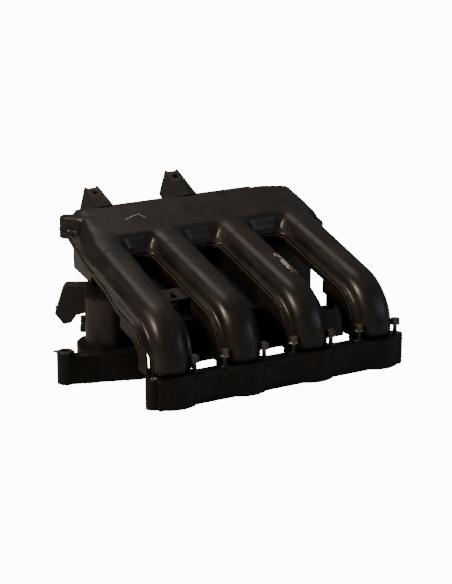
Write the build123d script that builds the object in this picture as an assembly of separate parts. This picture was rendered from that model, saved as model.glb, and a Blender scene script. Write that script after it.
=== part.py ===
"""Intake manifold of a four-cylinder engine: welded plastic shells, captive flange bolts, sensor.

X runs along the head flange, Y towards the plenum, Z up from the head flange's mating face.
The origin is the middle of the bolt line on that face. Millimetres.
"""
import os
from math import atan2, cos, degrees, radians, sin, tan

from build123d import *

# ---- driving dimensions ----
runner_pitch = 88.0        # distance between neighbouring ports
runner_count = 4
foot_width = 40.0          # runner section on the head flange, square with large corners
foot_corner = 17.0
throat_width = 45.0        # runner section at the plenum
throat_depth = 41.0
throat_corner = 14.0
shell_wall = 3.0
flange_height = 33.0
web_height = 31.5          # head flange between the lobes
web_front_y = -14.5
port_y = 11.0              # ports lie this far behind the bolt line
port_radius = 17.0
runner_slope = 15.5        # degrees, runners above their bend
bend_radius = 46.0         # centreline of the runner bend
bend_corner_z = 75.6       # where the two straight stretches of a runner would meet
runner_lean = 3.0          # degrees, the first runner leans towards the middle
weld_half_width = 26.0     # weld flange, either side of a runner
weld_thickness = 3.5       # each shell's own weld flange
slot_corner = 11.0         # rear corners of the gaps between the runners
plenum_front_y = 172.0
plenum_rear_y = 246.0
plenum_left = ((-148.0, 150.0), (-128.0, 260.0))   # the left wall runs through these
plenum_right_x = 166.0
plenum_end_fall = 8.0      # the cover falls this much towards its right end
plenum_end_run = 44.0      # over this length
plenum_front_lift = 20.5   # plenum top above the weld surface, square to it
plenum_crest_lift = 23.5
plenum_end_radius = 12.0
plenum_edge_radius = 8.0
crest_y = 238.0
crest_drop = 9.0           # the rear wall starts this far below the crest
rim_reach = 6.0            # welded rim behind the plenum
rear_lip_x = (-128.0, 112.0)
rear_lip_height = 8.0
tub_left_x = -98.0
tub_right_x = 158.0
tub_front_y = 62.0         # the tub reaches forward under the first three runners
tub_front_right_x = 70.0
tub_floor_z = 18.0
tub_roof_drop = 19.5       # tub roof below the weld surface, square to it
tub_corner = 9.0
tub_rib_x = (-88.0, 0.0)
tub_rib_radius = 6.0
gusset_offset = 24.5       # stiffening webs inside the bend, either side of a runner
gusset_thickness = 2.5
gusset_depth = 22.0
gusset_end_y = 75.0
clip_plate_y = (76.0, 99.0)
clip_hole = ((-91.0, 80.0), (-81.0, 81.0), (-84.0, 94.0))
shelf_floor_z = 92.0
bolt_spacing = 50.0        # the two bolts of one port
bolt_length = 45.0         # under the head
bolt_radius = 3.0
shank_radius = 2.6         # waisted part of the bolt
thread_length = 20.0
bolt_head_height = 6.0
bolt_flat_radius = 5.0
sleeve_radius = 5.0
sleeve_bore = 3.3
boss_radius = 9.0
port_rim = 26.0            # head flange round a port, behind the bolts
retainer_z = (27.0, 31.0)
lobe_radius = 32.0         # head flange round each port
lobe_half_width = 27.5
lobe_corner = 6.0
seal_outer = 21.6
seal_inner = 18.9
seal_depth = 2.5
washer_radius = 6.0
washer_thickness = 1.2
neck_radius = 27.0
neck_front = (-140.0, 137.0)
neck_rear = (-100.0, 208.0)
neck_top_z = 88.0
neck_roof = 11.0
inlet_turn = -19.0         # degrees, inlet flange about Z
inlet_radius = 37.0        # rear of the inlet flange
inlet_front = 43.0         # its straight front edge, from the bore
inlet_bore = 22.0
inlet_seal_outer = 25.9
inlet_seal_inner = 23.2
inlet_screw_circle = 63.0
inlet_insert_depth = 14.0
ear_centre = (-53.7, -36.0)   # from the inlet bore, along the turned flange
ear_radius = 10.0
ear_height = 36.0
ear_sleeve_radius = 5.5
ear_bore = 4.2
ear_nut_thickness = 1.6
corner_ear = (-139.0, 243.0)  # small clip ear at the rear left corner
corner_ear_radius = 9.0
corner_ear_bore = 3.2
corner_ear_z = (131.0, 157.0)
corner_web = ((-146.0, 236.0), (-126.0, 215.0), (-126.0, 246.0), (-141.0, 250.0))
foot_clearance = ((-170.0, 30.0), (-150.5, 30.0), (-151.0, 45.0), (-155.0, 55.0), (-161.0, 66.0), (-170.0, 66.0))
brackets = {"left": (-90.0, (278.0, 178.0)), "right": (22.0, (285.0, 184.0))}
cheek_inner = 6.0             # bracket cheeks stand either side of the screw pad
cheek_outer = 9.0
pad_hole_back = 11.0          # screw hole, from the bracket's tip
pad_thickness = 6.0
insert_radius = 4.5
insert_length = 5.0
insert_bore = 2.5
sensor_along = 46.0           # sensor's place along the neck wall
probe_z = 70.0
probe_radius = 4.8
sensor_screw_z = 74.0
sensor_screw_y = -17.0
sensor_screw_radius = 2.5
nipple_y = 6.0
nipple_z = 48.0
nipple_radius = 3.4
nipple_bore = 1.5
stay_x = (122.0, 155.0)
stay_y = (100.0, 118.0)
stay_top_z = 38.0
stay_low_z = 2.0
stay_insert_depth = 12.0
stay_post_x = (140.0, 150.0)

# ---- worked out from them ----
slope = radians(runner_slope)
port_x = [(index - (runner_count - 1) / 2) * runner_pitch for index in range(runner_count)]
bolt_x = [x + side * bolt_spacing / 2 for x in port_x for side in (-1, 1)]
captive_bolt_x = bolt_x[1:]          # the first hole has lost its bolt
line_end_y = 262.0                   # the weld surface is drawn to here
runner_end_y = plenum_front_y + 14   # the runners end inside the plenum
reach_x = 230.0                      # wider than the whole manifold
sky_z = 260.0                        # higher than the whole manifold
running_gap = 0.05
stay_hole = (sum(stay_x) / 2, sum(stay_y) / 2)
crest_z = bend_corner_z + (crest_y - port_y) * tan(slope) + plenum_crest_lift / cos(slope)


def weld_height(y):
    """Height of the sloping weld surface at a distance y behind the bolt line."""
    return bend_corner_z + (y - port_y) * tan(slope)


def weld_line(lift, end_y=line_end_y):
    """A runner's side view, lifted square to itself towards the outside of the bend."""
    foot = (port_y - lift, flange_height)
    corner = (port_y - lift, bend_corner_z + lift / cos(slope) - lift * tan(slope))
    end = (end_y, weld_height(end_y) + lift / cos(slope))
    return FilletPolyline(foot, corner, end, radius=bend_radius + lift)


def side_prism(outline, x_low, x_high):
    """Extrude a closed side view, drawn in Y and Z, from x_low to x_high."""
    face = Plane.YZ.offset(x_low) * make_face(outline)
    return extrude(face, amount=x_high - x_low, dir=(1, 0, 0))


def plan_prism(points, z_low, z_high):
    """Extrude a closed plan polygon from z_low to z_high."""
    face = Plane.XY.offset(z_low) * make_face(Polyline(*points, close=True))
    return extrude(face, amount=z_high - z_low)


def upright(radius, x, y, z_low, z_high):
    """A vertical cylinder between two heights."""
    return Location((x, y, (z_low + z_high) / 2)) * Cylinder(radius, z_high - z_low)


def ring(outer_radius, inner_radius, x, y, z_low, z_high):
    """A vertical ring between two heights."""
    return upright(outer_radius, x, y, z_low, z_high) - upright(inner_radius, x, y, z_low, z_high)


def block(x_low, x_high, y_low, y_high, z_low, z_high):
    """A box between two corners."""
    centre = Location(((x_low + x_high) / 2, (y_low + y_high) / 2, (z_low + z_high) / 2))
    return centre * Box(x_high - x_low, y_high - y_low, z_high - z_low)


def upright_slot(radius, start, end, z_low, z_high):
    """A vertical bar whose plan is a slot from start to end."""
    run = Vector(*end) - Vector(*start)
    middle = (Vector(*end) + Vector(*start)) * 0.5
    turn = degrees(atan2(run.Y, run.X))
    plan = Location((middle.X, middle.Y, z_low), (0, 0, turn)) * SlotCenterToCenter(run.length, 2 * radius)
    return extrude(plan, amount=z_high - z_low)


def band(lift_low, lift_high):
    """A plate that follows the weld surface over more than the manifold's width."""
    low = weld_line(lift_low)
    high = weld_line(lift_high)
    outline = Curve() + [low, Line(low @ 1, high @ 1), high, Line(high @ 0, low @ 0)]
    return side_prism(outline, -reach_x, reach_x)


def above_weld():
    """Everything on the outside of the weld surface."""
    low = weld_line(0.0)
    closing = Polyline(low @ 1, (line_end_y, sky_z), (-60.0, sky_z), (-60.0, flange_height), low @ 0)
    return side_prism(Curve() + [low, closing], -reach_x, reach_x)


def below_weld():
    """Everything on the inside of the weld surface."""
    low = weld_line(0.0)
    closing = Polyline(low @ 1, (line_end_y, -1.0), (port_y, -1.0), low @ 0)
    return side_prism(Curve() + [low, closing], -reach_x, reach_x)


def runner_bar(index, wall):
    """One runner as a solid bar, shrunk by wall: its section flattens towards the plenum."""
    x = port_x[index]
    path = Plane.YZ.offset(x) * weld_line(0.0, runner_end_y)
    foot_size = foot_width - 2 * wall
    foot = Plane(origin=path @ 0, x_dir=(1, 0, 0), z_dir=path % 0)
    throat = Plane(origin=path @ 1, x_dir=(1, 0, 0), z_dir=path % 1)
    sections = [foot * RectangleRounded(foot_size, foot_size, foot_corner - wall),
                throat * RectangleRounded(throat_width - 2 * wall, throat_depth - 2 * wall,
                                          throat_corner - wall)]
    bar = sweep(sections, path=path, multisection=True)
    if index == 0:
        bar = bar.rotate(Axis((x, port_y, 0), (0, 0, 1)), -runner_lean)
    return bar


def runner_bars(wall):
    """All the runners, as bars."""
    return [runner_bar(index, wall) for index in range(runner_count)]


def weld_plan():
    """Plan outline of the welded rim: the slots between the runners are cut out of it."""
    points = [(-158, -40), (-164, 36), (-164, 72), (-158, 110), (-155, 168), (-142, 252),
              (172, 252), (173, 176), (158, 160), (158, -40)]
    plan = plan_prism(points, 0, sky_z)
    for index in range(runner_count - 1):
        left = port_x[index] + weld_half_width
        right = port_x[index + 1] - weld_half_width
        back_left = left + (8.0 if index == 0 else 0.0)
        gap_back = plenum_front_y - 4
        gap = plan_prism([(left, -60), (right, -60), (right, gap_back), (back_left, gap_back)], -1, sky_z + 1)
        back_edges = gap.edges().filter_by(Axis.Z).group_by(Axis.Y)[-1]
        plan -= fillet(back_edges, slot_corner)
    return plan


def weld_flange(lift_low, lift_high, plan):
    """One shell's weld flange. Its left foot is cut back to make room for the first bolt."""
    flange = band(lift_low, lift_high) & plan
    front_view = Plane.XZ.offset(-40.0) * make_face(Polyline(*foot_clearance, close=True))
    return flange - extrude(front_view, amount=100.0)


def corner_boss():
    """Clip ear at the rear left corner, with the web that joins it to the plenum."""
    boss = upright(corner_ear_radius, *corner_ear, *corner_ear_z)
    boss += plan_prism(corner_web, *corner_ear_z)
    return boss


def plenum_room(wall):
    """The plenum above its shelf, shrunk by wall: no wall for its outside, one wall for its air."""
    front = plenum_front_y + wall
    rear = plenum_rear_y - wall
    right = plenum_right_x - wall
    (left_front_x, left_front_y), (left_rear_x, left_rear_y) = plenum_left
    top_front = (front + 4, weld_height(front + 4) + (plenum_front_lift - wall) / cos(slope))
    crest = (crest_y - wall / 2, crest_z - wall / cos(slope))
    outline = Polyline((front, shelf_floor_z + wall), (front, weld_height(front)), top_front, crest,
                       (rear, crest[1] - crest_drop), (rear, shelf_floor_z + wall), close=True)
    room = side_prism(outline, left_front_x, right)
    room &= plan_prism([(left_front_x + wall, left_front_y), (right, left_front_y), (right, left_rear_y),
                        (left_rear_x + wall, left_rear_y)], 0, sky_z)
    across = room.edges().filter_by(lambda edge: edge.length > 40 and abs(edge.tangent_at(0.5).X) < 0.5)
    left_end, right_end = across.sort_by(Axis.Z)[-2:].sort_by(Axis.X)
    room = fillet(left_end, plenum_end_radius - wall)
    fall = Polyline((right - plenum_end_run, sky_z), (right - plenum_end_run, 0), (right + 1, -plenum_end_fall),
                    (right + 1, sky_z), close=True)
    roof = Plane(origin=(0, crest[0], crest[1]), x_dir=(1, 0, 0), z_dir=(0, -cos(slope), -sin(slope)))
    room -= extrude(roof * make_face(fall), amount=200, both=True)
    edge = room.edges().filter_by(lambda edge: edge.length > 40 and abs(edge.tangent_at(0.5).X) < 0.3)
    return fillet(edge.filter_by(lambda one: one.center().X > right - 2).sort_by(Axis.Z)[-1:],
                  plenum_edge_radius - wall)


def tub_room(wall):
    """The deep lower half of the plenum, shrunk by wall. It reaches forward under the runners."""
    low = tub_floor_z + wall
    left = tub_left_x + wall
    corner = tub_corner - wall
    rear = block(left, tub_right_x - wall, plenum_front_y + wall, plenum_rear_y - wall, low, shelf_floor_z + 10)
    rear = fillet(rear.edges().filter_by(Axis.Z) + rear.edges().group_by(Axis.Z)[0], corner)
    front_y = tub_front_y + wall
    back_y = plenum_front_y + 15
    drop = (tub_roof_drop + wall) / cos(slope)
    outline = Polyline((front_y, low), (front_y, weld_height(front_y) - drop),
                       (back_y, weld_height(back_y) - drop), (back_y, low), close=True)
    front = side_prism(outline, left, tub_front_right_x - wall)
    front = fillet(front.edges().filter_by(Axis.Z).group_by(Axis.Y)[0], corner)
    return rear + front


def air_space():
    """All the air the manifold holds: runners, plenum, tub and inlet neck."""
    space = plenum_room(shell_wall) + tub_room(shell_wall)
    space += upright_slot(neck_radius - shell_wall, neck_front, neck_rear, flange_height - 1,
                          neck_top_z - neck_roof)
    for bar in runner_bars(shell_wall):
        space += bar
    return space


def rear_lip():
    """Low upstand behind the crest, left out where a bracket stands."""
    low = crest_z - crest_drop
    lip = block(*rear_lip_x, plenum_rear_y - 2, plenum_rear_y + 1, low - 3, low + rear_lip_height)
    for x, _ in brackets.values():
        lip -= block(x - cheek_outer - 1, x + cheek_outer + 1, plenum_rear_y - 3, plenum_rear_y + 2,
                     low - 4, low + rear_lip_height + 1)
    return lip


def upper_shell(space, plan):
    """Crowns of the runners, plenum cover and the upper half of the welded rim."""
    shell = weld_flange(0, weld_thickness, plan)
    crowns = above_weld()
    for bar in runner_bars(0.0):
        shell += bar & crowns
    shell += plenum_room(0.0) & crowns
    shell += rear_lip()
    shell += corner_boss() & crowns
    shell -= upright(corner_ear_bore, *corner_ear, 0, sky_z)
    return shell - space


def clip_plate():
    """Harness-clip plate that bridges the first slot just under the weld rim, with a corner hole."""
    front, back = clip_plate_y
    top = -weld_thickness / cos(slope)
    outline = Polyline((front, weld_height(front) + top), (back, weld_height(back) + top),
                       (back, weld_height(back) + top - 3), (front, weld_height(front) + top - 3), close=True)
    plate = side_prism(outline, port_x[0] + 20, port_x[1] - 20)
    return plate - plan_prism(clip_hole, 70, 130)


def gussets():
    """Stiffening webs inside the bend of every runner, under both edges of the weld flange."""
    inner = band(-gusset_depth, -weld_thickness)
    inner &= block(-reach_x, reach_x, port_y, gusset_end_y, flange_height, sky_z)
    webs = []
    for x in port_x:
        for side in (-1, 1):
            middle = x + side * gusset_offset
            half = gusset_thickness / 2
            webs.append(inner & block(middle - half, middle + half, 0, sky_z, 0, sky_z))
    return webs


def lower_shell(space, plan):
    """Runner undersides, tub, inlet neck, rear wall and the lower half of the welded rim."""
    shell = weld_flange(-weld_thickness, 0, plan)
    under = below_weld()
    for bar in runner_bars(0.0):
        shell += bar & under
    shell += plenum_room(0.0) & under
    shell += tub_room(0.0)
    for x in tub_rib_x:
        rib_top = weld_height(tub_front_y) - tub_roof_drop - 4
        shell += upright(tub_rib_radius, x, tub_front_y, tub_floor_z, rib_top)
    shell += upright_slot(neck_radius, neck_front, neck_rear, flange_height, neck_top_z)
    shell += clip_plate()
    for web in gussets():
        shell += web
    shell += corner_boss() & under
    shell += block(*stay_post_x, *stay_y, stay_top_z, weld_height(stay_y[0]) - throat_depth / 2 + 1)
    shell -= upright(corner_ear_bore, *corner_ear, 0, sky_z)
    return shell - space - wall_holes()


def head_flange():
    """Thick flange with a lobe round each port and a boss round each bolt."""
    flange = block(bolt_x[0], bolt_x[-1], web_front_y, boss_radius, 0, web_height)
    for x in port_x:
        lobe = upright(lobe_radius, x, port_y, 0, flange_height)
        lobe &= block(x - lobe_half_width, x + lobe_half_width, -60, 4, 0, flange_height)
        flange += fillet(lobe.edges().filter_by(Axis.Z).group_by(Axis.Y)[0], lobe_corner)
        flange += upright(port_rim, x, port_y, 0, flange_height)
    for x in bolt_x:
        flange += upright(boss_radius, x, 0, 0, flange_height)
    for x in port_x:
        flange -= upright(port_radius, x, port_y, -1, flange_height + 1)
        flange -= ring(seal_outer, seal_inner, x, port_y, -1, seal_depth)
    for x in bolt_x:
        flange -= upright(sleeve_radius, x, 0, -1, flange_height + 1)
    return flange


def port_seal(index):
    """Rubber ring in the groove round one port, pressed flush with the face."""
    return ring(seal_outer, seal_inner, port_x[index], port_y, 0, seal_depth)


def flange_sleeve(x):
    """Steel compression limiter pressed into one bolt hole."""
    return ring(sleeve_radius, sleeve_bore, x, 0, 0, flange_height)


def bolt_retainer(x):
    """Plastic ferrule inside the sleeve that keeps the bolt captive."""
    return ring(sleeve_bore, shank_radius + running_gap, x, 0, *retainer_z)


def flange_washer(x):
    """Loose washer held under a bolt head."""
    top = bolt_length - running_gap
    return ring(washer_radius, shank_radius + running_gap, x, 0, top - washer_thickness, top)


def flange_bolt(x):
    """Captive M6 bolt, its tip level with the face: hexagon head, waisted shank, threaded tip."""
    hexagon = RegularPolygon(bolt_flat_radius, 6, major_radius=False)
    bolt = extrude(Plane.XY.offset(bolt_length) * Pos(x, 0) * hexagon, amount=bolt_head_height)
    bolt += upright(shank_radius, x, 0, thread_length - 2, bolt_length)
    bolt += upright(bolt_radius, x, 0, 1, thread_length)
    bolt += upright(bolt_radius - 0.6, x, 0, 0, 1)
    return bolt


def turned(shape):
    """Place a piece drawn round the inlet bore into the manifold."""
    return Location((*neck_front, 0), (0, 0, inlet_turn)) * shape


def inlet_screw_places():
    """Centres of the four throttle body screws, from the inlet bore."""
    half = inlet_screw_circle / 2 * cos(radians(45))
    return [(across * half, along * half) for across in (-1, 1) for along in (-1, 1)]


def inlet_flange():
    """Foot of the neck: rounded at the rear, straight in front, with a mounting ear."""
    front = block(-inlet_radius + 1, inlet_radius - 1, -inlet_front, 0, 0, flange_height)
    front = fillet(front.edges().filter_by(Axis.Z).group_by(Axis.Y)[0], 8)
    plate = upright(inlet_radius, 0, 0, 0, flange_height) + front
    plate += upright(ear_radius, *ear_centre, 0, ear_height)
    plate += block(ear_centre[0], -20, ear_centre[1] - 8, ear_centre[1] + 8, 0, flange_height - 1)
    plate -= upright(inlet_bore, 0, 0, -1, flange_height + 1)
    plate -= ring(inlet_seal_outer, inlet_seal_inner, 0, 0, -1, seal_depth)
    plate -= upright(ear_sleeve_radius, *ear_centre, -1, ear_height + 1)
    for place in inlet_screw_places():
        plate -= upright(insert_radius, *place, -1, inlet_insert_depth)
    return turned(plate)


def inlet_seal():
    """Rubber ring in the groove round the inlet bore."""
    return turned(ring(inlet_seal_outer, inlet_seal_inner, 0, 0, 0, seal_depth))


def inlet_insert(place):
    """Threaded brass insert for one throttle body screw."""
    return turned(ring(insert_radius, insert_bore, *place, 0, inlet_insert_depth))


def ear_sleeve():
    """Steel sleeve through the mounting ear."""
    return turned(ring(ear_sleeve_radius, ear_bore, *ear_centre, 0, ear_height))


def ear_nut():
    """Flat captive nut plate on the ear, with a pointed locating tab."""
    x, y = ear_centre
    top = ear_height + ear_nut_thickness
    plate = ring(8.5, ear_bore, x, y, ear_height, top)
    tab = plan_prism([(x - 8, y - 3), (x - 8, y + 5), (x - 14, y + 3)], ear_height, top)
    return turned(plate + tab)


def cover_bracket(x, apex):
    """Cantilever bracket behind the crest: two triangular cheeks and a tilted screw pad."""
    apex_y, apex_z = apex
    rear = plenum_rear_y
    rim = rear + rim_reach + 0.2
    cheek = Polyline((crest_y, crest_z + 0.2), apex, (apex_y + 15, apex_z - 32), (rear, 118),
                     (rear, 135), (rim, 135), (rim, 150), (rear, 150), (rear, crest_z - crest_drop),
                     close=True)
    bracket = side_prism(cheek, x - cheek_outer, x - cheek_inner)
    bracket += side_prism(cheek, x + cheek_inner, x + cheek_outer)
    rise = (apex_z - crest_z) / (apex_y - crest_y)
    pad_end = (apex_y - 1, apex_z - rise - 1)
    pad = Polyline((crest_y, crest_z + 0.2), pad_end, (pad_end[0] + 1, pad_end[1] - pad_thickness),
                   (rear + 0.2, crest_z - crest_drop + 2), (rear + 0.2, crest_z - crest_drop), close=True)
    bracket += side_prism(pad, x - cheek_inner, x + cheek_inner)
    return bracket - pad_hole(x, apex, insert_radius, 12)


def pad_hole(x, apex, radius, depth):
    """A round bar along the hole through a bracket's tilted screw pad."""
    tilt = atan2(apex[1] - crest_z, apex[0] - crest_y)
    place = Location((x, apex[0] - pad_hole_back, apex[1] - pad_hole_back * tan(tilt) - 1), (degrees(tilt), 0, 0))
    return place * Pos(0, 0, -pad_thickness / 2) * Cylinder(radius, depth)


def bracket_insert(x, apex):
    """Threaded brass insert in a bracket's screw pad."""
    return pad_hole(x, apex, insert_radius, insert_length) - pad_hole(x, apex, insert_bore, 14)


def beside_neck(shape):
    """Place a piece drawn on the neck's outer wall: X out from the wall, Y to the rear."""
    run = Vector(*neck_rear) - Vector(*neck_front)
    turn = degrees(atan2(run.Y, run.X)) - 90
    along = run.normalized()
    foot = Vector(*neck_front) + along * sensor_along
    wall = foot + Vector(-along.Y, along.X) * neck_radius
    return Location((wall.X, wall.Y, 0), (0, 0, turn + 180)) * shape


def outward(radius, length, x, y, z):
    """A round bar square to the neck wall, its middle x out from the wall."""
    return Location((x, y, z), (0, 90, 0)) * Cylinder(radius, length)


def wall_holes():
    """Holes in the neck's wall for the sensor's probe and screw and for the nipple."""
    holes = outward(probe_radius + 1.6, 6, -1.5, 0, probe_z)
    holes += outward(sensor_screw_radius, 6, -1.5, sensor_screw_y, sensor_screw_z)
    holes += outward(nipple_radius - 0.5, 6, -1.5, nipple_y, nipple_z)
    return beside_neck(holes)


def sensor_body():
    """Pressure and temperature sensor: slanted housing, connector mouth, mounting lug and probe."""
    outline = [(0, 56), (12, 53), (18, 44), (27, 42), (37, 55), (28, 83), (24, 88), (0, 88)]
    face = Plane.XZ.offset(-10) * make_face(Polyline(*outline, close=True))
    housing = extrude(face, amount=20)
    housing -= Location((30, 0, 51), (0, 35, 0)) * Box(10, 15, 22)
    housing += block(0, 5, sensor_screw_y - 7, -10, sensor_screw_z - 8, sensor_screw_z + 8)
    housing -= outward(sensor_screw_radius + 0.2, 10, 2.5, sensor_screw_y, sensor_screw_z)
    housing += outward(probe_radius, 10, -5, 0, probe_z)
    return beside_neck(housing)


def sensor_pin(offset):
    """One flat contact blade inside the connector mouth."""
    return beside_neck(Location((30, offset, 51), (0, 35, 0)) * Pos(0, 0, 6) * Box(0.8, 1.6, 10))


def sensor_seal():
    """Rubber ring round the sensor's probe, in the wall."""
    seal = outward(probe_radius + 1.6, 2.6, -1.5, 0, probe_z) - outward(probe_radius, 2.6, -1.5, 0, probe_z)
    return beside_neck(seal)


def sensor_screw():
    """Screw through the sensor's lug into the neck."""
    place = (sensor_screw_y, sensor_screw_z)
    screw = outward(sensor_screw_radius, 9, 0.5, *place) + outward(4.6, 3, 6.5, *place)
    socket = extrude(RegularPolygon(2, 6), amount=2, both=True)
    return beside_neck(screw - Location((7.5, *place), (0, 90, 0)) * socket)


def vacuum_nipple():
    """Small hose nipple on the neck, turned down."""
    stub = outward(nipple_radius - 0.5, 8, 0.5, nipple_y, nipple_z)
    stub += upright(nipple_radius, 4.4, nipple_y, nipple_z - 14, nipple_z + 3)
    stub += upright(nipple_radius + 0.5, 4.4, nipple_y, nipple_z - 10, nipple_z - 8)
    stub -= upright(nipple_bore, 4.4, nipple_y, nipple_z - 15, nipple_z)
    stub -= outward(nipple_bore, 11, -2, nipple_y, nipple_z)
    return beside_neck(stub)


def nipple_cap():
    """Rubber cap pushed over the end of the nipple."""
    tip = nipple_z - 14
    cap = upright(nipple_radius + 1, 4.4, nipple_y, tip - 1.5, tip + 3.8)
    return beside_neck(cap - upright(nipple_radius, 4.4, nipple_y, tip, tip + 4))


def stay_block():
    """Foot of the rear support, hanging under the last runner."""
    foot = block(*stay_x, *stay_y, stay_low_z, stay_top_z)
    foot = fillet(foot.edges().filter_by(Axis.Z), 2)
    return foot - upright(insert_radius, *stay_hole, stay_low_z - 1, stay_low_z + stay_insert_depth)


def stay_insert():
    """Threaded brass insert in the underside of the support foot."""
    return ring(insert_radius, insert_bore, *stay_hole, stay_low_z, stay_low_z + stay_insert_depth)


def save(name, shape):
    """Write one node."""
    export_step(shape, f"parts/{name}.step")


def main():
    """Write every node of the manifold."""
    os.makedirs("parts", exist_ok=True)
    space = air_space()
    plan = weld_plan()
    save("upper_shell", upper_shell(space, plan))
    save("lower_shell", lower_shell(space, plan))
    save("head_flange", head_flange())
    for index in range(runner_count):
        save(f"port_seal_{index + 1}", port_seal(index))
    save("flange_sleeves", Compound([flange_sleeve(x) for x in bolt_x]))
    save("bolt_retainers", Compound([bolt_retainer(x) for x in captive_bolt_x]))
    for number, x in enumerate(captive_bolt_x, start=2):
        save(f"flange_washer_{number}", flange_washer(x))
        save(f"flange_bolt_{number}", flange_bolt(x))
    save("inlet_flange", inlet_flange())
    save("inlet_seal", inlet_seal())
    save("inlet_inserts", Compound([inlet_insert(place) for place in inlet_screw_places()]))
    save("ear_sleeve", ear_sleeve())
    save("ear_nut", ear_nut())
    for side, (x, apex) in brackets.items():
        save(f"bracket_{side}", cover_bracket(x, apex))
        save(f"bracket_insert_{side}", bracket_insert(x, apex))
    save("sensor_body", sensor_body())
    save("sensor_pins", Compound([sensor_pin(offset) for offset in (-4.5, -1.5, 1.5, 4.5)]))
    save("sensor_seal", sensor_seal())
    save("sensor_screw", sensor_screw())
    save("vacuum_nipple", vacuum_nipple())
    save("nipple_cap", nipple_cap())
    save("stay_block", stay_block())
    save("stay_insert", stay_insert())


if __name__ == "__main__":
    main()
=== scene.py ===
"""Looks of a four-cylinder engine's plastic intake manifold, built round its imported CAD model."""
from math import cos, hypot, radians, sin, tan

import bmesh
import bpy
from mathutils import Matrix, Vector, noise
from mathutils.bvhtree import BVHTree


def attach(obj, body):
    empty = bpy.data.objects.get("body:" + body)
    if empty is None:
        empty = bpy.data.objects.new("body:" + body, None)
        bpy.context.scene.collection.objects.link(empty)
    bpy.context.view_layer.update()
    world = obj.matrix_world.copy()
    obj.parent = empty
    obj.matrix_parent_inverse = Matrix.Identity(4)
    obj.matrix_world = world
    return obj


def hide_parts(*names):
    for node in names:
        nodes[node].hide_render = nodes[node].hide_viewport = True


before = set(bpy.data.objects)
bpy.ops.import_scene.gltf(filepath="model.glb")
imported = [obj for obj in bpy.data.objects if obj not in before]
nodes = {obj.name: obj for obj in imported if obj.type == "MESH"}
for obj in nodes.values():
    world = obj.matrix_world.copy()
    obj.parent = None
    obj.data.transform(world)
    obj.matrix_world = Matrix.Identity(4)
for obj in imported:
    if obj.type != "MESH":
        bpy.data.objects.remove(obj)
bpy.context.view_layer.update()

# ---- Welded shells ----
# Two injection moulded shells of glass-filled nylon, vibration welded along one sloping line: the
# upper one carries the runner crowns and the plenum cover, the lower one the undersides and tub.
# The nylon is brown-black, satin on the crowns, with flow marks, scuffed edges and some dust.


def add_node(tree, kind, inputs=(), **settings):
    """One shader node. inputs gives each socket its value, or the socket that feeds it."""
    made = tree.nodes.new(kind)
    for key, value in settings.items():
        setattr(made, key, value)
    for key, value in dict(inputs).items():
        if isinstance(value, bpy.types.NodeSocket):
            tree.links.new(value, made.inputs[key])
        else:
            made.inputs[key].default_value = value
    return made


def new_group(name, inputs, outputs):
    """An empty shader group with number inputs, its input node and its output node."""
    tree = bpy.data.node_groups.new(name, "ShaderNodeTree")
    for label, value in inputs.items():
        socket = tree.interface.new_socket(label, in_out="INPUT", socket_type="NodeSocketFloat")
        socket.default_value = value
    for label in outputs:
        tree.interface.new_socket(label, in_out="OUTPUT", socket_type="NodeSocketFloat")
    return tree, tree.nodes.new("NodeGroupInput").outputs, tree.nodes.new("NodeGroupOutput").inputs


def object_place(tree, stretch=(1, 1, 1)):
    """The surface point in object coordinates, stretched along the three axes."""
    source = add_node(tree, "ShaderNodeTexCoord").outputs["Object"]
    stretched = add_node(tree, "ShaderNodeMapping", {"Vector": source, "Scale": stretch})
    return stretched.outputs["Vector"]


flow_stretch = (9, 1, 3)
flow_scale = 20


def grain_group():
    """Fine moulded grain, and slow mottling with flow marks along the runners."""
    tree, given, out = new_group("moulded_grain", {"Grain Scale": 1500, "Mottle Scale": 28},
                                 ["Height", "Mottle"])
    grain = add_node(tree, "ShaderNodeTexNoise",
                     {"Vector": object_place(tree), "Scale": given["Grain Scale"], "Detail": 4})
    mottle = add_node(tree, "ShaderNodeTexNoise",
                      {"Vector": object_place(tree), "Scale": given["Mottle Scale"], "Detail": 6})
    flow = add_node(tree, "ShaderNodeTexNoise",
                    {"Vector": object_place(tree, flow_stretch), "Scale": flow_scale, "Detail": 3})
    both = add_node(tree, "ShaderNodeMath", {0: mottle.outputs["Fac"], 1: flow.outputs["Fac"]},
                    operation="ADD")
    spread = add_node(tree, "ShaderNodeMapRange",
                      {"Value": both.outputs[0], "From Min": 0.75, "From Max": 1.25})
    tree.links.new(grain.outputs["Fac"], out["Height"])
    tree.links.new(spread.outputs["Result"], out["Mottle"])
    return tree


rounding_rays = 6


def wear_group():
    """Mask of worn edges: where the rounded surface turns away from the flat one."""
    tree, given, out = new_group("edge_wear", {"Radius": 0.001, "Spots": 260}, ["Mask"])
    rounded = add_node(tree, "ShaderNodeBevel", {"Radius": given["Radius"]}, samples=rounding_rays)
    flat = add_node(tree, "ShaderNodeNewGeometry").outputs["Normal"]
    same = add_node(tree, "ShaderNodeVectorMath", {0: rounded.outputs["Normal"], 1: flat},
                    operation="DOT_PRODUCT")
    edge = add_node(tree, "ShaderNodeMapRange",
                    {"Value": same.outputs["Value"], "From Min": 0.995, "From Max": 0.86})
    spots = add_node(tree, "ShaderNodeTexNoise",
                     {"Vector": object_place(tree), "Scale": given["Spots"], "Detail": 3})
    patchy = add_node(tree, "ShaderNodeMapRange",
                      {"Value": spots.outputs["Fac"], "From Min": 0.35, "From Max": 0.6})
    worn = add_node(tree, "ShaderNodeMath",
                    {0: edge.outputs["Result"], 1: patchy.outputs["Result"]},
                    operation="MULTIPLY")
    tree.links.new(worn.outputs[0], out["Mask"])
    return tree


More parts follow.
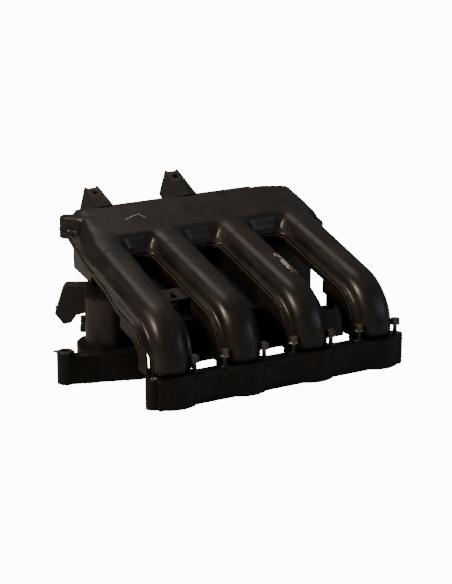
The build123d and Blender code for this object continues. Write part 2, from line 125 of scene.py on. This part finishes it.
def dust_group():
    """Mask of dust that lies in patches on whatever faces up."""
    tree, given, out = new_group("settled_dust", {"Patches": 45}, ["Mask"])
    normal = add_node(tree, "ShaderNodeNewGeometry").outputs["Normal"]
    up = add_node(tree, "ShaderNodeSeparateXYZ", {"Vector": normal}).outputs["Z"]
    facing = add_node(tree, "ShaderNodeMapRange", {"Value": up, "From Min": 0.35, "From Max": 1.0})
    patches = add_node(tree, "ShaderNodeTexNoise",
                       {"Vector": object_place(tree), "Scale": given["Patches"], "Detail": 8,
                        "Roughness": 0.7})
    patchy = add_node(tree, "ShaderNodeMapRange",
                      {"Value": patches.outputs["Fac"], "From Min": 0.42, "From Max": 0.72})
    lying = add_node(tree, "ShaderNodeMath",
                     {0: facing.outputs["Result"], 1: patchy.outputs["Result"]},
                     operation="MULTIPLY")
    tree.links.new(lying.outputs[0], out["Mask"])
    return tree


moulded_grain = grain_group()
edge_wear = wear_group()
settled_dust = dust_group()


def blended(tree, mask, strength, low, high):
    """Colour that goes from low to high as a mask, taken at some strength, goes from 0 to 1."""
    share = add_node(tree, "ShaderNodeMath", {0: mask, 1: strength}, operation="MULTIPLY")
    mix = add_node(tree, "ShaderNodeMix", {0: share.outputs[0], 6: low, 7: high}, data_type="RGBA")
    return mix.outputs[2]


dust_tone = (0.21, 0.185, 0.16, 1)
glossier = 0.05
duller = 0.07
grain_strength = 0.35


def surface_material(name, dark, light, worn, rough, grain_depth, metal=0.0, gloss=0.5,
                     dust=0.25, edge_radius=0.0009, wear=0.6, grain_scale=1500.0):
    """A moulded, pressed or plated surface: two mottled tones, worn edges, dust and grain."""
    material = bpy.data.materials.new(name)
    material.use_nodes = True
    tree = material.node_tree
    shader = tree.nodes["Principled BSDF"]
    shader.inputs["Specular IOR Level"].default_value = gloss
    shader.inputs["Metallic"].default_value = metal
    grain = add_node(tree, "ShaderNodeGroup", node_tree=moulded_grain)
    grain.inputs["Grain Scale"].default_value = grain_scale
    edges = add_node(tree, "ShaderNodeGroup", node_tree=edge_wear)
    edges.inputs["Radius"].default_value = edge_radius
    lying = add_node(tree, "ShaderNodeGroup", node_tree=settled_dust)
    colour = blended(tree, grain.outputs["Mottle"], 1.0, (*dark, 1), (*light, 1))
    colour = blended(tree, edges.outputs["Mask"], wear, colour, (*worn, 1))
    colour = blended(tree, lying.outputs["Mask"], dust, colour, dust_tone)
    tree.links.new(colour, shader.inputs["Base Color"])
    sheen = add_node(tree, "ShaderNodeMapRange",
                     {"Value": grain.outputs["Mottle"], "To Min": rough - glossier,
                      "To Max": rough + duller})
    dull = add_node(tree, "ShaderNodeMath",
                    {0: lying.outputs["Mask"], 1: dust, 2: sheen.outputs["Result"]},
                    operation="MULTIPLY_ADD")
    tree.links.new(dull.outputs[0], shader.inputs["Roughness"])
    rounded = add_node(tree, "ShaderNodeBevel", {"Radius": edge_radius}, samples=rounding_rays)
    relief = add_node(tree, "ShaderNodeBump",
                      {"Height": grain.outputs["Height"], "Normal": rounded.outputs["Normal"],
                       "Strength": grain_strength, "Distance": grain_depth})
    tree.links.new(relief.outputs["Normal"], shader.inputs["Normal"])
    return material


def paint(material, *names):
    """Give CAD pieces their finish."""
    for name in names:
        slots = nodes[name].data.materials
        for index in range(len(slots)):
            slots[index] = material


shell_nylon = surface_material("shell_nylon", (0.012, 0.0098, 0.0086), (0.026, 0.021, 0.018),
                               (0.095, 0.076, 0.06), 0.33, 0.0001, gloss=0.46, dust=0.05)
paint(shell_nylon, "lower_shell")

# ---- Runner and plenum crowns ----
# The upper shell as it leaves the mould: where the runners run out of the plenum cover, and where
# their crowns meet the weld flange, every hollow is rounded by a large radius.
smooth_angle = radians(35)


def finished(piece, name, material, body="manifold", node=None):
    """Turn a bmesh into a piece of the manifold that rides on a body."""
    mesh = bpy.data.meshes.new(name)
    piece.to_mesh(mesh)
    piece.free()
    mesh.shade_smooth()
    mesh.set_sharp_from_angle(angle=smooth_angle)
    mesh.materials.append(material)
    made = bpy.data.objects.new(name, mesh)
    bpy.context.collection.objects.link(made)
    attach(made, body)
    if node:
        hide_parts(node)
    return made


join_distance = 0.000002
flat_angle = radians(0.5)


def merged_copy(name):
    """A bmesh of a CAD node with its loose triangles joined and its flat faces made whole."""
    piece = bmesh.new()
    piece.from_mesh(nodes[name].data)
    bmesh.ops.remove_doubles(piece, verts=piece.verts, dist=join_distance)
    bmesh.ops.dissolve_limit(piece, angle_limit=flat_angle, verts=piece.verts, edges=piece.edges)
    return piece


foot_y = 0.011
bend_radius = 0.046
bend_top_z = 0.0756
runner_slope = radians(15.5)
bend_foot_z = bend_top_z - bend_radius * tan((radians(90) - runner_slope) / 2)
bend_end_y = foot_y + bend_radius * (1 - sin(runner_slope))


def above_weld_line(point):
    """How far a point stands outside the weld surface: upright foot, bend, sloping straight."""
    if point.z < bend_foot_z:
        return foot_y - point.y
    if point.y < bend_end_y:
        return hypot(point.y - foot_y - bend_radius, point.z - bend_foot_z) - bend_radius
    return (point.z - bend_top_z - (point.y - foot_y) * tan(runner_slope)) * cos(runner_slope)


def relax(piece, verts, passes):
    """Draw points halfway to the middle of their neighbours, several times over."""
    for _ in range(passes):
        bmesh.ops.smooth_vert(piece, verts=verts, factor=0.5, use_axis_x=True, use_axis_y=True,
                              use_axis_z=True)


skin_voxel = 0.0017
rim_top = 0.0034
plenum_front = (0.150, 0.200)
whole_passes = 3
crown_passes = 6
hollow_passes = 34
crowns = finished(merged_copy("upper_shell"), "crowns", shell_nylon)
skin = crowns.modifiers.new("skin", "REMESH")
skin.mode = "VOXEL"
skin.voxel_size = skin_voxel
bpy.ops.object.select_all(action="DESELECT")
bpy.context.view_layer.objects.active = crowns
crowns.select_set(True)
bpy.ops.object.modifier_apply(modifier="skin")
crowns.select_set(False)
skinned = bmesh.new()
skinned.from_mesh(crowns.data)
bpy.data.objects.remove(crowns)
outer = [vert for vert in skinned.verts if above_weld_line(vert.co) > rim_top]
hollows = [vert for vert in outer if plenum_front[0] < vert.co.y < plenum_front[1]]
relax(skinned, skinned.verts, whole_passes)
relax(skinned, outer, crown_passes)
relax(skinned, hollows, hollow_passes)
finished(skinned, "upper_shell_moulded", shell_nylon, node="upper_shell")

# ---- Weld flash ----
# A thin bead of nylon that the vibration weld squeezed out all along the joint between the shells.
# It is paler than the shells because the rubbed fibres show.
flash_material = surface_material("weld_flash", (0.05, 0.043, 0.036), (0.09, 0.076, 0.062),
                                  (0.16, 0.135, 0.11), 0.5, 0.0001, wear=0.4, dust=0.1)
flash_radius = 0.00055
seam_reach = 0.00006
seam_angle = radians(40)
seam = merged_copy("upper_shell")
seam_edges = []
for edge in seam.edges:
    on_line = all(abs(above_weld_line(vert.co)) < seam_reach for vert in edge.verts)
    if on_line and len(edge.link_faces) == 2 and edge.calc_face_angle(0) > seam_angle:
        seam_edges.append(edge)
loose = bmesh.new()
placed = {}
for edge in seam_edges:
    for vert in edge.verts:
        if vert.index not in placed:
            placed[vert.index] = loose.verts.new(vert.co)
    loose.edges.new([placed[vert.index] for vert in edge.verts])
seam.free()
seam_mesh = bpy.data.meshes.new("weld_flash")
loose.to_mesh(seam_mesh)
loose.free()
weld_flash = bpy.data.objects.new("weld_flash", seam_mesh)
bpy.context.collection.objects.link(weld_flash)
bpy.ops.object.select_all(action="DESELECT")
bpy.context.view_layer.objects.active = weld_flash
weld_flash.select_set(True)
bpy.ops.object.convert(target="CURVE")
weld_flash.data.bevel_depth = flash_radius
weld_flash.data.bevel_resolution = 1
bpy.ops.object.convert(target="MESH")
weld_flash.select_set(False)
weld_flash.data.materials.clear()
weld_flash.data.materials.append(flash_material)
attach(weld_flash, "manifold")

# ---- Head flange ----
# A thick plate of the same nylon welded under the runner feet, scalloped round ports and bolts.
# Painted shade makes it darker than the shells; it is also duller, with rounded edges and a parting
# groove near its top.
sharp_angle = radians(40)


def soften(piece, width):
    """Round every sharp edge of a finished piece."""
    rounding = piece.modifiers.new("rounding", "BEVEL")
    rounding.width = width
    rounding.segments = 2
    rounding.limit_method = "ANGLE"
    rounding.angle_limit = sharp_angle
    rounding.harden_normals = True


# The shells' nylon in darker tones: the darkening is painted shade on the head and inlet flanges.
flange_nylon = surface_material("flange_nylon", (0.005, 0.0043, 0.004), (0.0105, 0.009, 0.0082),
                                (0.06, 0.049, 0.04), 0.46, 0.00012, gloss=0.28, dust=0.1)
groove_low = 0.0262
groove_high = 0.0272
groove_depth = 0.0005
groove_lip = 0.0001
moulded_radius = 0.0008
flange = merged_copy("head_flange")
for height in (groove_low, groove_high):
    bmesh.ops.bisect_plane(flange, geom=flange.verts[:] + flange.edges[:] + flange.faces[:],
                           plane_co=(0, 0, height), plane_no=(0, 0, 1))
groove_faces = [face for face in flange.faces
                if groove_low < face.calc_center_median().z < groove_high
                and abs(face.normal.z) < 0.1]
bmesh.ops.inset_region(flange, faces=groove_faces, thickness=groove_lip, depth=-groove_depth)
soften(finished(flange, "head_flange_finished", flange_nylon, node="head_flange"), moulded_radius)

# ---- Captive bolts and washers ----
# Seven M6 flange bolts of zinc-plated steel, held raised in their sleeves by plastic ferrules: cold
# formed hexagon head with a flange, waisted shank, rolled thread. A loose washer hangs under each.
plated_grain = 900.0
plated_edge = 0.0004
zinc_steel = surface_material("zinc_steel", (0.34, 0.31, 0.27), (0.56, 0.52, 0.46),
                              (0.70, 0.67, 0.62), 0.32, 0.00004, metal=1.0, dust=0.12,
                              edge_radius=plated_edge, grain_scale=plated_grain)
dull_zinc = surface_material("dull_zinc", (0.13, 0.11, 0.09), (0.26, 0.225, 0.19),
                             (0.50, 0.46, 0.41), 0.40, 0.00005, metal=1.0, dust=0.2,
                             edge_radius=plated_edge, grain_scale=plated_grain)
port_pitch = 0.088
bolt_spacing = 0.050
bolt_places = [(port - 1.5) * port_pitch + side * bolt_spacing / 2
               for port in range(4) for side in (-1, 1)]
under_head = 0.045
head_height = 0.006
head_radius = 0.0055
hexagon_low = under_head + 0.0006
hexagon_height = head_height - 0.0006
head_rounding = 0.0008
dish_rim = 0.0009
dish_depth = 0.0007
shank_radius = 0.00255
shank_low = 0.0205
thread_root = 0.00262
thread_crest = 0.00298
thread_low = 0.001
thread_high = 0.0192
thread_pitch = 0.001
thread_turns = 18
washer_bore = 0.0027
washer_radius = 0.006
washer_top = under_head - 0.00005
washer_low = washer_top - 0.0012
washer_steps = 32


def lathed(profile, x, y, steps=40):
    """Spin a closed profile of (radius, height) points round an upright axis."""
    turned = bmesh.new()
    corners = [turned.verts.new((x + radius, y, height)) for radius, height in profile]
    for index, corner in enumerate(corners):
        turned.edges.new((corner, corners[(index + 1) % len(corners)]))
    bmesh.ops.spin(turned, geom=turned.verts[:] + turned.edges[:], cent=(x, y, 0), axis=(0, 0, 1),
                   angle=radians(360), steps=steps, use_merge=True)
    bmesh.ops.remove_doubles(turned, verts=turned.verts, dist=0.000001)
    bmesh.ops.recalc_face_normals(turned, faces=turned.faces)
    return turned


def bolt_profile():
    """Half outline of a bolt from its tip to the top of its flange, closed along the axis."""
    profile = [(0.0, 0.0), (0.0022, 0.0), (0.0026, 0.0006)]
    for turn in range(thread_turns):
        low = thread_low + turn * thread_pitch
        profile += [(thread_root, low), (thread_crest, low + 0.0004), (thread_crest, low + 0.0006)]
    profile += [(thread_root, thread_high), (shank_radius, shank_low),
                (shank_radius, under_head - 0.0009), (0.0029, under_head - 0.0001),
                (0.0056, under_head), (0.0057, under_head + 0.0004),
                (0.0053, under_head + 0.0009), (0.0046, under_head + 0.0013),
                (0.0, under_head + 0.0013)]
    return profile


def washer_profile():
    """Outline of a washer's section, its corners rounded a little."""
    return [(washer_bore, washer_low + 0.0001), (0.0029, washer_low), (0.0057, washer_low),
            (washer_radius, washer_low + 0.0003), (washer_radius, washer_top - 0.0003),
            (0.0057, washer_top), (0.0029, washer_top), (washer_bore, washer_top - 0.0001)]


for number, x in enumerate(bolt_places[1:], start=2):
    bolt = lathed(bolt_profile(), x, 0.0)
    head = bmesh.ops.create_cone(bolt, cap_ends=True, segments=6, radius1=head_radius,
                                 radius2=head_radius, depth=hexagon_height)["verts"]
    bmesh.ops.translate(bolt, verts=head, vec=(x, 0, hexagon_low + hexagon_height / 2))
    crown = [face for face in bolt.faces
             if face.calc_center_median().z > under_head + head_height - 0.0002]
    rim = list({edge for face in crown for edge in face.edges})
    bmesh.ops.bevel(bolt, geom=rim, offset=head_rounding, offset_type="OFFSET", segments=2,
                    profile=0.5, affect="EDGES", material=-1)
    top = max(bolt.faces, key=lambda face: face.calc_center_median().z * 100 + face.calc_area())
    bmesh.ops.inset_region(bolt, faces=[top], thickness=dish_rim, depth=-dish_depth)
    finished(bolt, f"bolt_{number}_finished", dull_zinc, f"bolt_{number}", f"flange_bolt_{number}")
    washer = lathed(washer_profile(), x, 0.0, washer_steps)
    finished(washer, f"washer_{number}_finished", zinc_steel, f"washer_{number}",
             f"flange_washer_{number}")

# ---- Sleeves and ferrules ----
# Steel compression limiters pressed through the flange, with rolled rims, and the natural nylon
# ferrules inside them that grip the bolts.
sleeve_bore = 0.0033
sleeve_radius = 0.005
sleeve_top = 0.033
sleeve_profile = [(sleeve_bore, 0.0006), (0.0036, 0.0), (0.0047, 0.0), (sleeve_radius, 0.0004),
                  (sleeve_radius, sleeve_top - 0.0004), (0.0047, sleeve_top),
                  (0.0036, sleeve_top), (sleeve_bore, sleeve_top - 0.0006)]
sleeves = bmesh.new()
for x in bolt_places:
    sleeve = lathed(sleeve_profile, x, 0.0)
    sleeve_mesh = bpy.data.meshes.new("sleeve")
    sleeve.to_mesh(sleeve_mesh)
    sleeve.free()
    sleeves.from_mesh(sleeve_mesh)
finished(sleeves, "sleeves_finished", zinc_steel, node="flange_sleeves")
clear_nylon = surface_material("clear_nylon", (0.50, 0.47, 0.38), (0.62, 0.59, 0.50),
                               (0.7, 0.68, 0.6), 0.45, 0.00006, dust=0.1)
paint(clear_nylon, "bolt_retainers")

# ---- Seals ----
# Rubber rings pressed into the grooves under the ports and the inlet, dull with powdery bloom.
seal_rubber = surface_material("seal_rubber", (0.012, 0.012, 0.012), (0.028, 0.027, 0.027),
                               (0.05, 0.05, 0.05), 0.72, 0.00008, gloss=0.35, dust=0.15)
paint(seal_rubber, "port_seal_1", "port_seal_2", "port_seal_3", "port_seal_4", "inlet_seal",
      "sensor_seal", "nipple_cap")

# ---- Inlet flange ----
# The foot that takes the throttle body: moulded in the flange's nylon, with brass inserts pressed
# in from below and a mounting ear whose steel sleeve is capped by a flat nut plate.
# Its dark nylon tones, shared with the head flange, are painted shade.
soften(finished(merged_copy("inlet_flange"), "inlet_flange_finished", flange_nylon,
                node="inlet_flange"), moulded_radius)
brass_edge = 0.0003
brass = surface_material("brass", (0.44, 0.31, 0.12), (0.66, 0.50, 0.24), (0.75, 0.62, 0.36), 0.32,
                         0.00004, metal=1.0, dust=0.12, edge_radius=brass_edge)
paint(brass, "inlet_inserts", "stay_insert")
paint(zinc_steel, "ear_sleeve", "sensor_screw")
paint(dull_zinc, "ear_nut")

# ---- Cover brackets ----
# Two cantilever brackets moulded behind the crest: thin cheeks either side of a tilted screw pad,
# the pads pale with dust and each with a tarnished brass insert.
bracket_nylon = surface_material("bracket_nylon", (0.008, 0.0072, 0.0072), (0.017, 0.0155, 0.015),
                                 (0.13, 0.105, 0.08), 0.46, 0.00012, gloss=0.36, dust=0.75)
aged_brass = surface_material("aged_brass", (0.045, 0.03, 0.016), (0.09, 0.062, 0.034),
                              (0.2, 0.15, 0.09), 0.5, 0.00004, metal=1.0, dust=0.1,
                              edge_radius=brass_edge)
paint(aged_brass, "bracket_insert_left", "bracket_insert_right")
bracket_radius = 0.0005
for side in ("left", "right"):
    soften(finished(merged_copy(f"bracket_{side}"), f"bracket_{side}_finished", bracket_nylon,
                    node=f"bracket_{side}"), bracket_radius)

# ---- Sensor and nipple ----
# A pressure and temperature sensor screwed to the neck, in matt black polyester with four tinned
# blades in its mouth, and beside it a hose nipple turned down under a rubber cap.
sensor_plastic = surface_material("sensor_plastic", (0.017, 0.017, 0.018), (0.032, 0.031, 0.032),
                                  (0.09, 0.09, 0.09), 0.52, 0.00016, gloss=0.4, dust=0.2)
sensor_radius = 0.0007
soften(finished(merged_copy("sensor_body"), "sensor_body_finished", sensor_plastic,
                node="sensor_body"), sensor_radius)
paint(sensor_plastic, "vacuum_nipple")
tinned_copper = surface_material("tinned_copper", (0.55, 0.54, 0.51), (0.72, 0.71, 0.68),
                                 (0.8, 0.8, 0.78), 0.28, 0.00003, metal=1.0, dust=0.05)
paint(tinned_copper, "sensor_pins")

# ---- Support foot ----
# A grey nylon block that hangs between the last two runners, where a stay is screwed in from
# below.
stay_plastic = surface_material("stay_plastic", (0.035, 0.036, 0.035), (0.065, 0.066, 0.063),
                                (0.16, 0.16, 0.15), 0.55, 0.00014, dust=0.2)
soften(finished(merged_copy("stay_block"), "stay_block_finished", stay_plastic, node="stay_block"), moulded_radius)

# ---- Label remnant ----
# What is left of a paper label on the third runner's crown, torn at its edges, with a few faded
# grey bars.
label_low = Vector((0.048, 0.050))
label_high = Vector((0.063, 0.100))
label_across = label_high.x - label_low.x
label_along = label_high.y - label_low.y
label_gap = 0.00012
label_thickness = 0.0001
tear_fineness = 210
tear_depth = 0.9
untorn_share = 0.7
drop_height = 0.2
crown_mesh = bmesh.new()
crown_mesh.from_mesh(nodes["upper_shell"].data)
crown_tree = BVHTree.FromBMesh(crown_mesh)
crown_mesh.free()
label = bmesh.new()
bmesh.ops.create_grid(label, x_segments=20, y_segments=44, size=0.5)
middle = (label_low + label_high) / 2
bmesh.ops.scale(label, verts=label.verts, vec=(label_across, label_along, 1))
bmesh.ops.translate(label, verts=label.verts, vec=(middle.x, middle.y, drop_height))
torn = []
for vert in label.verts:
    across = abs(vert.co.x - middle.x) / label_across * 2
    along = abs(vert.co.y - middle.y) / label_along * 2
    raggedness = noise.noise(vert.co * tear_fineness) * tear_depth
    hit, normal, _, _ = crown_tree.ray_cast(vert.co, Vector((0, 0, -1)))
    if hit is None or max(across, along) > untorn_share + raggedness:
        torn.append(vert)
        continue
    vert.co = hit + normal * label_gap
bmesh.ops.delete(label, geom=torn, context="VERTS")
bmesh.ops.solidify(label, geom=label.faces[:], thickness=-label_thickness)
paper = bpy.data.materials.new("paper")
paper.use_nodes = True
paper_tree = paper.node_tree
paper_shader = paper_tree.nodes["Principled BSDF"]
paper_shader.inputs["Roughness"].default_value = 0.85
bars = add_node(paper_tree, "ShaderNodeTexWave",
                {"Vector": object_place(paper_tree), "Scale": 90, "Distortion": 2.0, "Detail": 2},
                bands_direction="Y")
bar_mask = add_node(paper_tree, "ShaderNodeMapRange",
                    {"Value": bars.outputs["Fac"], "From Min": 0.55, "From Max": 0.8})
paper_tone = (0.62, 0.60, 0.56, 1)
bar_tone = (0.22, 0.21, 0.2, 1)
bar_strength = 0.7
paper_colour = blended(paper_tree, bar_mask.outputs["Result"], bar_strength, paper_tone, bar_tone)
paper_tree.links.new(paper_colour, paper_shader.inputs["Base Color"])
finished(label, "label_remnant", paper)

# ---- Chalk mark ----
# A small tick that someone drew on the plenum cover: two short strokes of chalk.
chalk = surface_material("chalk", (0.42, 0.41, 0.39), (0.66, 0.65, 0.62), (0.7, 0.7, 0.68), 0.9,
                         0.0002, dust=0.0)
stroke_width = 0.0011
stroke_gap = 0.0001
stroke_thickness = 0.00008
for name, start, end in (("chalk_stroke_long", (-0.082, 0.206), (-0.060, 0.214)),
                         ("chalk_stroke_short", (-0.062, 0.214), (-0.056, 0.204))):
    run = Vector(end) - Vector(start)
    stroke = bmesh.new()
    bmesh.ops.create_grid(stroke, x_segments=24, y_segments=2, size=0.5)
    for vert in stroke.verts:
        along = vert.co.x + 0.5
        aside = Vector((-run.y, run.x)).normalized() * vert.co.y * stroke_width
        place = Vector(start) + run * along + aside
        hit, normal, _, _ = crown_tree.ray_cast(Vector((*place, drop_height)), Vector((0, 0, -1)))
        vert.co = hit + normal * stroke_gap
    bmesh.ops.solidify(stroke, geom=stroke.faces[:], thickness=-stroke_thickness)
    finished(stroke, name, chalk)

# ---- Camera ----
# Stands to the left of the flange's middle and a little above it, with a long lens.
view_azimuth = radians(-30.4)
view_elevation = radians(16.71)
view_distance = 1.99967
aim_point = Vector((-0.0355, 0.0546, 0.0969))
toward_camera = Vector((sin(view_azimuth) * cos(view_elevation),
                        -cos(view_azimuth) * cos(view_elevation),
                        sin(view_elevation)))
camera_data = bpy.data.cameras.new("camera")
camera_data.lens = 110.96
camera_data.clip_end = 50
camera = bpy.data.objects.new("camera", camera_data)
camera.location = aim_point + toward_camera * view_distance
camera.rotation_euler = toward_camera.to_track_quat("Z", "Y").to_euler()
bpy.context.collection.objects.link(camera)
bpy.context.scene.camera = camera

# ---- Floor and light ----
# A plain pale floor that looks white and throws little light back. A warm soft box stands high on
# the left, a cool one low on the right, and a weak one above the plenum.
floor_reach = 6
floor_grey = (0.6, 0.6, 0.6, 1)
glow_strength = 16.0
glow_share = 0.8
floor_mesh = bmesh.new()
bmesh.ops.create_grid(floor_mesh, x_segments=1, y_segments=1, size=floor_reach)
floor_data = bpy.data.meshes.new("floor")
floor_mesh.to_mesh(floor_data)
floor_mesh.free()
floor = bpy.data.objects.new("floor", floor_data)
bpy.context.collection.objects.link(floor)
floor_paint = bpy.data.materials.new("floor_paint")
floor_paint.use_nodes = True
floor_tree = floor_paint.node_tree
floor_shader = floor_tree.nodes["Principled BSDF"]
floor_shader.inputs["Base Color"].default_value = floor_grey
glow = add_node(floor_tree, "ShaderNodeEmission",
                {"Color": (1, 1, 1, 1), "Strength": glow_strength})
seen = add_node(floor_tree, "ShaderNodeLightPath").outputs["Is Camera Ray"]
share = add_node(floor_tree, "ShaderNodeMath", {0: seen, 1: glow_share}, operation="MULTIPLY")
floor_mix = add_node(floor_tree, "ShaderNodeMixShader",
                     {0: share.outputs[0], 1: floor_shader.outputs[0], 2: glow.outputs[0]})
floor_tree.links.new(floor_mix.outputs[0], floor_tree.nodes["Material Output"].inputs["Surface"])
floor_data.materials.append(floor_paint)


def area_light(name, place, size, power, colour):
    """One soft box that faces the manifold."""
    data = bpy.data.lights.new(name, "AREA")
    data.size = size
    data.energy = power
    data.color = colour
    light = bpy.data.objects.new(name, data)
    light.location = place
    light.rotation_euler = (Vector(place) - aim_point).to_track_quat("Z", "Y").to_euler()
    bpy.context.collection.objects.link(light)


area_light("key", (-2.0, 0.1, 1.6), 0.35, 34, (1.0, 0.80, 0.60))
area_light("fill", (1.8, -1.6, 0.9), 1.0, 5, (0.66, 0.78, 1.0))
area_light("top", (0.2, 1.2, 2.6), 1.4, 11, (1.0, 0.90, 0.80))
world = bpy.data.worlds.new("room")
world.use_nodes = True
room_light = world.node_tree.nodes["Background"].inputs
room_light["Color"].default_value = (1, 0.95, 0.9, 1)
room_light["Strength"].default_value = 0.13
bpy.context.scene.world = world
